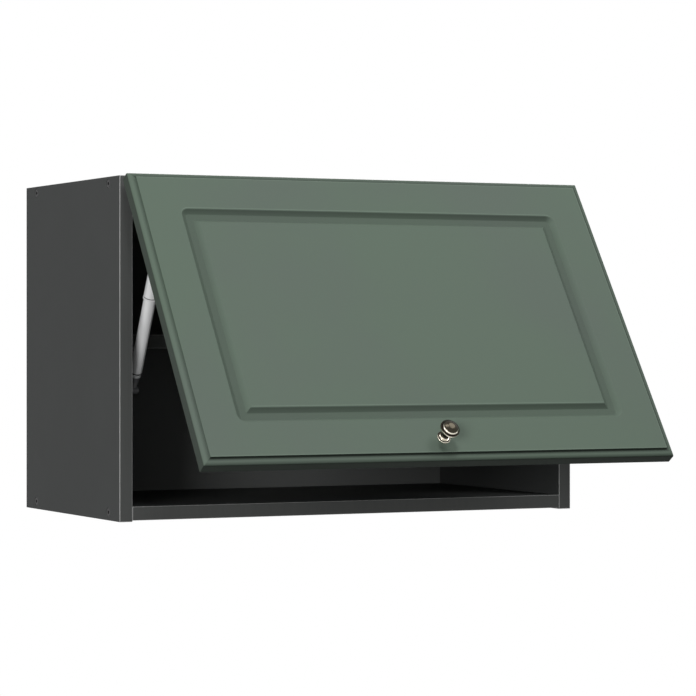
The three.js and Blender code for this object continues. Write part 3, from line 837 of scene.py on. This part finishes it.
def makeLeaf():
    p = leaf
    t = p["thickness"]
    lipTop = t - p["lipStep"]
    outer, inner = p["grooveInset"], p["grooveInset"] + p["grooveWidth"]
    floor = t - p["grooveDepth"]
    wallTop = t - p["wallTop"] * p["grooveDepth"] / p["grooveWall"]
    # (inset from the edge, height from the back, fillet), from the back round to the raised field
    path = filleted([
        (p["backRim"], 0), (0, 0, p["backArris"]), (0, lipTop, p["lipRadius"]),
        (p["lipWidth"], lipTop, p["riserFoot"]), (p["lipWidth"], t - p["riserTop"]),
        (p["lipWidth"], t, p["riserArris"]),
        (p["lipWidth"] + p["paintedToneReach"], t), (outer - p["paintedToneReach"], t),
        (outer, t, p["arris"]), (outer + p["wallTop"], wallTop),
        (outer + p["grooveWall"], floor, p["foot"]), (inner - p["grooveWall"], floor, p["foot"]),
        (inner - p["wallTop"], wallTop), (inner, t, p["arris"]),
        (inner + p["paintedToneReach"], t)], p["arcSteps"])
    bm = bmesh.new()
    # a point attribute of painted shade below 0 and painted highlight above 0, set by where each point
    # lies and which way its side looks
    wear = bm.verts.layers.float.new("wear")
    rings = []
    for inset, height in path:
        ring = leafRing(bm, inset, height, float(np.interp(inset, *zip(*p["cornerRadii"]))))
        for vertex, turn in zip(ring, ringTurns):
            vertex[wear] = paintedToneAt(inset, height) * paintedToneShare(inset, height, turn)
        rings.append(ring)
    for a, b in zip(rings, rings[1:]):
        for k in range(len(a)):
            n = (k + 1) % len(a)
            bm.faces.new((a[k], a[n], b[n], b[k]))
    bm.faces.new(reversed(rings[0]))
    bm.faces.new(rings[-1])
    bm.transform(onLeaf)
    bmesh.ops.recalc_face_normals(bm, faces=bm.faces)
    obj = asObject("front_leaf_board", bm, sage)
    pockets = []
    for _, side in sides:
        pocket = revolved([(0, -cutOver), (p["cupRadius"], -cutOver), (p["cupRadius"], p["cupDepth"]),
                           (0, p["cupDepth"])], p["cupSteps"])
        place = Matrix.Translation((side * p["cupX"], p["height"] / 2 - p["cupFromEdge"], 0))
        pockets.append(asObject("cup_pocket", moved(pocket, onLeaf @ place @ Matrix.Scale(1 / mm, 4))))
    carved(obj, *pockets)
    finished(obj, "front", ("front_leaf",), crease=p["crease"])


makeLeaf()
print("leaf made")


# profiles are (radius, height, fillet) from the leaf's face; hollows and rims are spots on them as
# (height, reach along, radius, reach across)
knob = dict(
    rose=((0, 0.05), (7.8, 0.05), (8.0, 0.3, 0.15), (8.0, 1.3, 0.5), (7.1, 1.75, 0.3), (6.5, 1.6, 0.3),
          (5.8, 2.5, 0.5), (4.4, 2.5, 0.3), (0, 2.5)),
    roseHollows=((1.6, 0.8, 6.3, 1.0), (2.5, 1.0, 4.4, 1.6)),
    roseRims=((1.0, 0.9, 8.0, 1.2), (2.5, 0.5, 5.5, 0.8)),
    head=((0, 2.6), (5.2, 2.6, 0.2), (4.9, 3.5, 0.5), (3.5, 5.4, 2.0), (3.2, 8.3, 2.5), (3.6, 10.5, 0.8),
          (5.6, 11.2, 0.6), (6.0, 12.5, 0.8), (5.5, 13.7, 0.6), (4.4, 14.2, 0.5), (5.0, 15.2, 0.6),
          (10.0, 16.6, 0.8), (11.6, 17.7, 0.9), (11.6, 19.4, 0.9), (10.6, 20.2, 0.4), (10.1, 20.0, 0.3),
          (9.7, 20.9, 0.5), (8.2, 23.0, 3.5), (4.4, 24.75, 6.0), (0, 25.0)),
    headHollows=((20.1, 1.3, 10.1, 1.1), (14.3, 1.4, 4.6, 1.6), (10.1, 1.8, 3.6, 1.6),
                 (2.6, 1.6, 5.0, 1.6), (16.1, 1.6, 8.5, 3.0)),
    headRims=((18.1, 1.7, 11.6, 1.4), (21.8, 1.1, 9.0, 1.5), (12.5, 1.2, 6.0, 1.1),
              (3.1, 0.9, 5.2, 0.9)),
    roseSteps=96, headSteps=128, spotGain=1.6, lowerHighlight=0.62, lowerHighlightFall=0.55)

knobPlace = Matrix.Translation((0, leaf["face"] * mm, (leaf["bottom"] + leaf["knobFromLower"]) * mm))
knobTurn = opened @ knobPlace @ Matrix.Rotation(math.pi / 2, 4, "X")


def marked(obj, hollows, rims):
    # how deep in a hollow and how rubbed each point is; the lower side gets the most polish, a painted
    # highlight where reflections fall
    inverse = knobTurn.inverted()
    for name, spots in (("hollow", hollows), ("polish", rims)):
        attribute = obj.data.attributes.new(name, "FLOAT", "POINT")
        for k, vertex in enumerate(obj.data.vertices):
            x, y, height = (inverse @ vertex.co) / mm
            radius = math.hypot(x, y)
            value = max(max(0, 1 - math.hypot((height - h) / along, (radius - r) / across))
                        for h, along, r, across in spots)
            value = min(1, value * knob["spotGain"])
            if name == "polish":
                # painted highlight: the polish is strongest on the lower side of the knob and fades
                # upwards
                value *= min(1, max(0, knob["lowerHighlight"] - y / max(radius, 1) * knob["lowerHighlightFall"]))
            attribute.data[k].value = value


def makeKnob():
    for name, arcs in (("rose", 5), ("head", 6)):
        turned = revolved(filleted(knob[name], arcs), knob[f"{name}Steps"])
        obj = asObject(f"knob_{name}_turned", moved(turned, knobTurn), brass)
        marked(obj, knob[f"{name}Hollows"], knob[f"{name}Rims"])
        finished(obj, "front", (f"knob_{name}",))
    refined("knob_screw", "knob_screw_plated", nickel, "front", 0.15)


makeKnob()
print("knob made")


# groups of profile points are (out, up, fillet) from a corner: of the sleeve's lower end, of the
# cylinder's foot and mouth, and of the rod where it enters the mouth
strut = dict(
    fitting=6.0, reach=12.0, footReach=17.0, gap=0.3,
    sleeve=8.2, sleeveWall=0.5, sleeveEnd=72.8, sleeveTop=1.6, sleeveRoof=1.5,
    sleeveBead=((0, 3.2, 0.1), (-0.25, 3.0), (-0.25, 2.2), (0.45, 2.1, 0.3), (0.45, 0, 0.4)),
    # the ring entries are (out, low, high) of a groove whose faces are painted dark grey as shade
    sleeveShadeRing=(-0.1, 2.2, 3.1),
    cylinder=7.4, cylinderEnd=128.0, cylinderWall=0.8, wallFrom=8.0, wallTo=-4.0,
    cylinderFoot=((-0.8, 0, 0.5), (-0.8, 3.8, 0.5), (-2.8, 4.1, 0.1), (-2.8, 5.5, 0.1), (0, 5.8, 0.5)),
    cylinderShadeRing=(-1.2, 3.9, 5.8),
    cylinderMouth=((0, -6.2, 0.2), (-0.35, -5.7, 0.3), (0, -5.2, 0.2), (0, 0, 1.3)),
    rodSeal=((0.9, 0, 0.2), (0.3, -0.6), (0.3, -3)),
    rod=3.0, rodEnd=121.0, rodArris=0.5, rodGap=0.3, rodWell=0.6, wellFrom=7.0, wellFloor=4.4,
    tubeSteps=72, rodSteps=40)


def strutFrame(name):
    # from strut terms (millimetres, origin at the upper pivot, hanging along -Z)
    pivot = Vector(joints[f"strut_swing_{name}"]["pos_m"])
    along = Vector(joints[f"strut_stroke_{name}"]["axis"])
    lean = math.atan2(along.y, -along.z)
    return Matrix.Translation(pivot) @ Matrix.Rotation(lean, 4, "X")


def shadedGroove(bm, ring, a, b):
    # the faces of a narrow groove take the second finish, dark grey, as painted shade in the groove
    out, low, high = ring
    for face in bm.faces:
        middle = face.calc_center_median() / mm
        if math.hypot(middle.x, middle.y) < a + out and b + low < middle.z < b + high:
            face.material_index = 1
    return bm


def strutLength(name):
    # from the upper pivot to the lower one
    upright = strutFrame(name).inverted()
    mesh = frame["nodes"][f"strut_lower_fitting_{name}"].data
    lowest = min((upright @ vertex.co).z for vertex in mesh.vertices)
    return -lowest / mm - strut["fitting"]


def makeStrut(name):
    p = strut
    place = strutFrame(name)
    length = strutLength(name)
    top = -p["reach"] - p["gap"]
    rodBody, cylinderBody = f"strut_rod_{name}", f"strut_cylinder_{name}"

    r, end = p["sleeve"], -p["sleeveEnd"]
    inside, hole, roof = r - p["sleeveWall"], p["rod"] + p["rodGap"], top - p["sleeveRoof"]
    tube = revolved(filleted([
        (hole, top), (r, top, p["sleeveTop"]), *shiftedBy(p["sleeveBead"], r, end),
        (inside, end, 0.15), (inside, roof), (hole, roof)], 4, True), p["tubeSteps"], True)
    shadedGroove(tube, p["sleeveShadeRing"], r, end)
    finished(asObject(f"strut_sleeve_tube_{name}", moved(tube, place), white, plastic), rodBody,
             (f"strut_sleeve_{name}",))

    shaft = revolved(filleted([(0, top), (p["rod"], top), (p["rod"], -p["rodEnd"], p["rodArris"]),
                               (0, -p["rodEnd"])], 3), p["rodSteps"])
    finished(asObject(f"strut_piston_rod_{name}", moved(shaft, place), rod), rodBody,
             (f"strut_rod_{name}",))

    mouth = -(length - p["cylinderEnd"])
    base = -(length - p["footReach"] - p["gap"])
    r = p["cylinder"]
    inside, well = r - p["cylinderWall"], p["rod"] + p["rodWell"]
    shell = revolved(filleted([
        (0, base), *shiftedBy(p["cylinderFoot"], r, base), *shiftedBy(p["cylinderMouth"], r, mouth),
        *shiftedBy(p["rodSeal"], p["rod"], mouth), (inside, mouth + p["wallTo"]),
        (inside, base + p["wallFrom"]), (well, base + p["wellFrom"]), (well, base + p["wellFloor"]),
        (0, base + p["wellFloor"])], 4), p["tubeSteps"])
    shadedGroove(shell, p["cylinderShadeRing"], r, base)
    finished(asObject(f"strut_cylinder_tube_{name}", moved(shell, place), white, plastic), cylinderBody,
             (f"strut_cylinder_{name}",))

    for node, piece, finish, body, slot, width in (
            ("upper_fitting", "upper_eye", plastic, rodBody, "grey_plastic", 0.5),
            ("lower_fitting", "lower_eye", plastic, cylinderBody, "grey_plastic", 0.5),
            ("side_bracket", "side_plate", nickel, "cabinet", "plated_steel", 0.35),
            ("front_bracket", "front_angle", nickel, "front", "plated_steel", 0.35)):
        refined(f"strut_{node}_{name}", f"strut_{piece}_{name}", finish, body, width)


for name, _ in sides:
    makeStrut(name)
print("struts made")


# the body that each pressed fitting rides on, and how far its edges are rounded
fittings = dict(hinge_cup=("front", 0.3), hinge_plate=("cabinet", 0.4), hinge_arm=("cabinet", 0.3),
                hinge_link=("cabinet", 0.25), hanging_plate=("cabinet", 0.35))


def makeFittings():
    for name, _ in sides:
        for node, (body, width) in fittings.items():
            refined(f"{node}_{name}", f"{node}_pressed_{name}", nickel, body, width)


bumper = dict(profile=((0, 1.4), (2.75, 1.4, 1.4), (5.0, 0.35, 0.3), (5.0, 0), (0, 0)),
              fromLower=13.0, x=292.0, sunk=0.05, steps=48)


def makeBumpers():
    p = bumper
    for name, side in sides:
        pad = revolved(filleted(p["profile"], 5), p["steps"])
        place = Vector((side * p["x"], leaf["back"] + p["sunk"], leaf["bottom"] + p["fromLower"])) * mm
        matrix = opened @ Matrix.Translation(place) @ Matrix.Rotation(-math.pi / 2, 4, "X")
        finished(asObject(f"bumper_dome_{name}", moved(pad, matrix), rubber), "front",
                 (f"bumper_{name}",))


# where the fittings' own small screws sit, from the middle of each fitting or from the board's edge
smallScrews = dict(
    plateFromFront=37.0, plateFlange=2.6, plateSpread=17.5,
    hangerFlange=2.1, hangerSpots=((-19, 10), (-37, -10), (-43, 12)),
    bracketFlange=2.1, bracketSpread=18.0,
    cupFlange=1.6, cupSpread=24.0, cupRise=9.5,
    angleFlange=2.4, angleSpread=14.0, angleX=266.5, angleHeight=319.0,
    cabinetSeed=7, frontSeed=9)


def makeSmallScrews():
    p = smallScrews
    onCabinet, onFront = [], []
    for name, side in sides:
        inwards = Vector((-side, 0, 0))
        low, high = nodeBox(f"hinge_plate_{name}")
        x = (low.x + high.x) / 2 / mm
        for dx in (-p["plateSpread"], p["plateSpread"]):
            onCabinet.append((Vector((x + dx, carcass["front"] + p["plateFromFront"],
                                      carcass["topUnder"] - p["plateFlange"])), Vector((0, 0, -1))))
        low, high = nodeBox(f"hanging_plate_{name}")
        x = side * (carcass["inside"] - p["hangerFlange"])
        for y, dz in p["hangerSpots"]:
            onCabinet.append((Vector((x, y, (low.z + high.z) / 2 / mm + dz)), inwards))
        low, high = nodeBox(f"strut_side_bracket_{name}")
        x = side * (carcass["inside"] - p["bracketFlange"])
        middle = (low + high) / 2 / mm
        for dz in (-p["bracketSpread"], p["bracketSpread"]):
            onCabinet.append((Vector((x, middle.y, middle.z + dz)), inwards))
        for dx in (-p["cupSpread"], p["cupSpread"]):
            onFront.append(Vector((side * leaf["cupX"] + dx, leaf["back"] + p["cupFlange"],
                                   leaf["top"] - leaf["cupFromEdge"] + p["cupRise"])))
        for dz in (-p["angleSpread"], p["angleSpread"]):
            onFront.append(Vector((side * p["angleX"], leaf["back"] + p["angleFlange"],
                                   p["angleHeight"] + dz)))
    backwards = opened.to_3x3() @ Vector((0, 1, 0))
    setFasteners("cabinet_wood_screws", [(place * mm, way) for place, way in onCabinet], woodTemplate,
                 zinc, "cabinet", p["cabinetSeed"])
    setFasteners("front_wood_screws", [(opened @ (place * mm), backwards) for place in onFront],
                 woodTemplate, zinc, "front", p["frontSeed"])


makeFittings()
makeBumpers()
makeSmallScrews()
for template in (screwTemplate, woodTemplate, nailTemplate):
    bpy.data.objects.remove(template)
print("fittings made")


lamps = dict(
    key=dict(place=(-0.6, -2.6, 5.24), aim=(0, -0.3, 0.2), size=(1.5, 1.5), power=108),
    top=dict(place=(1.0, -1.2, 1.9), aim=(0.1, -0.4, 0.3), size=(0.8, 0.8), power=12),
    left=dict(place=(-2.45, -2.85, 0.5), aim=(-0.3, -0.2, 0.2), size=(1.1, 1.1), power=44),
    side=dict(place=(-3.2, -0.6, 0.7), aim=(-0.3, -0.2, 0.2), size=(1.4, 1.4), power=15),
    front=dict(place=(-1.5, -3.0, 0.28), aim=(0, -0.3, 0.1), size=(1.2, 0.6), power=6),
    rear=dict(place=(1.7, 2.9, 1.6), aim=(0, 0, 0.2), size=(1.6, 1.6), power=60))
studio = dict(
    fill=0.09, shown=1.0, floorDrop=0.9, floorSize=6.0, floorTone=0.8, floorGlow=0.3, floorReturn=0.08)
# the photo's own view: focal length and middle row in its pixels, place in metres, turn in radians
view = dict(focal=2840.358, middleRow=336.639, frame=696, place=(-1.495457, -3.376855, 0.213897),
            turn=-0.453, film=36, farthest=50)


def grey(value):
    return value, value, value, 1


def makeLamp(name, place, aim, size, power):
    light = bpy.data.lights.new(name, "AREA")
    light.shape = "RECTANGLE"
    light.size, light.size_y = size
    light.energy = power
    obj = bpy.data.objects.new(name, light)
    obj.location = place
    obj.rotation_euler = (Vector(aim) - Vector(place)).to_track_quat("-Z", "Y").to_euler()
    scene.collection.objects.link(obj)


def seenRays(tree):
    # 1 for the rays that show the surroundings: from the camera, from gloss and through clear pieces
    path = tree.nodes.new("ShaderNodeLightPath")
    total = None
    for ray in ("Is Camera Ray", "Is Glossy Ray", "Is Transmission Ray"):
        if total is None:
            total = path.outputs[ray]
            continue
        larger = tree.nodes.new("ShaderNodeMath")
        larger.operation = "MAXIMUM"
        tree.links.new(total, larger.inputs[0])
        tree.links.new(path.outputs[ray], larger.inputs[1])
        total = larger.outputs[0]
    return total


def makeWorld():
    world = bpy.data.worlds.new("studio")
    scene.world = world
    world.use_nodes = True
    tree = world.node_tree
    light = tree.nodes["Background"]
    light.inputs["Color"].default_value = grey(1)
    light.inputs["Strength"].default_value = studio["fill"]
    shown = tree.nodes.new("ShaderNodeBackground")
    shown.inputs["Color"].default_value = grey(1)
    shown.inputs["Strength"].default_value = studio["shown"]
    mix = tree.nodes.new("ShaderNodeMixShader")
    tree.links.new(seenRays(tree), mix.inputs[0])
    tree.links.new(light.outputs[0], mix.inputs[1])
    tree.links.new(shown.outputs[0], mix.inputs[2])
    tree.links.new(mix.outputs[0], tree.nodes["World Output"].inputs["Surface"])


def makeFloor():
    half = studio["floorSize"] / 2
    mesh = bpy.data.meshes.new("floor")
    drop = -studio["floorDrop"]
    corners = ((-half, -half), (half, -half), (half, half), (-half, half))
    mesh.from_pydata([(x, y, drop) for x, y in corners], [], [(0, 1, 2, 3)])
    floor = bpy.data.objects.new("floor", mesh)
    scene.collection.objects.link(floor)
    material = bpy.data.materials.new("pale_floor")
    material.use_nodes = True
    tree = material.node_tree
    shader = tree.nodes["Principled BSDF"]
    shader.inputs["Base Color"].default_value = grey(studio["floorTone"])
    shader.inputs["Roughness"].default_value = 0.9
    shader.inputs["Emission Color"].default_value = grey(1)
    shader.inputs["Emission Strength"].default_value = studio["floorGlow"]
    dim = tree.nodes.new("ShaderNodeBsdfDiffuse")      # what the object gets back from the floor
    dim.inputs["Color"].default_value = grey(studio["floorReturn"])
    mix = tree.nodes.new("ShaderNodeMixShader")
    tree.links.new(seenRays(tree), mix.inputs[0])
    tree.links.new(dim.outputs[0], mix.inputs[1])
    tree.links.new(shader.outputs[0], mix.inputs[2])
    tree.links.new(mix.outputs[0], tree.nodes["Material Output"].inputs["Surface"])
    mesh.materials.append(material)


def makeCamera():
    data = bpy.data.cameras.new("camera")
    data.sensor_width = view["film"]
    data.lens = view["focal"] / view["frame"] * view["film"]
    data.shift_y = (view["middleRow"] - view["frame"] / 2) / view["frame"]
    data.clip_end = view["farthest"]
    camera = bpy.data.objects.new("camera", data)
    camera.location = view["place"]
    camera.rotation_euler = (math.pi / 2, 0, view["turn"])
    scene.collection.objects.link(camera)
    scene.camera = camera


for name, lamp in lamps.items():
    makeLamp(name, **lamp)
makeWorld()
makeFloor()
makeCamera()
scene.view_settings.view_transform = "Standard"
print("studio made")
